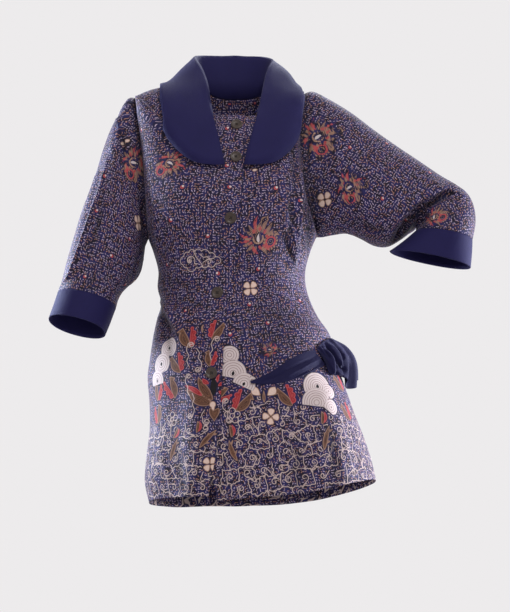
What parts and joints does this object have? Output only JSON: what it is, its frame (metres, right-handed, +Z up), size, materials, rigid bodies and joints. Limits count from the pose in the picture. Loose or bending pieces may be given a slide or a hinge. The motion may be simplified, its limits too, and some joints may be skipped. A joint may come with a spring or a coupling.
{
  "type": "batik blouse",
  "caption": "Fitted hip-length tunic blouse in worn, hollow form with a large roll collar, cuffed sleeves, front buttons, a tapered hip band and a gathered side flounce.",
  "frame": {"origin": "base of the neck, between the shoulders, where the wearer holds the blouse up", "axes": "+X to the wearer's left, +Y to the wearer's back, +Z up"},
  "size_m": [0.7651, 0.2775, 0.8584],
  "materials": {
    "batik_front_right": "printed cotton",
    "batik_front_left": "printed cotton",
    "batik_back": "printed cotton",
    "batik_sleeve_right": "printed cotton",
    "batik_sleeve_left": "printed cotton",
    "navy_cuff_right": "plain cotton",
    "navy_cuff_left": "plain cotton",
    "navy_collar": "plain cotton",
    "navy_hip_band": "plain cotton",
    "navy_flounce": "plain cotton",
    "buttons": "satin"
  },
  "bodies": {
    "root": {"front_right": "batik_front_right", "front_left": "batik_front_left", "back": "batik_back", "sleeve_right": "batik_sleeve_right", "sleeve_left": "batik_sleeve_left", "cuff_right": "navy_cuff_right", "cuff_left": "navy_cuff_left", "collar": "navy_collar", "hip_band": "navy_hip_band", "hip_flounce": "navy_flounce", "button_1": "buttons", "button_2": "buttons", "button_3": "buttons", "button_4": "buttons", "button_5": "buttons"}
  },
  "joints": []
}
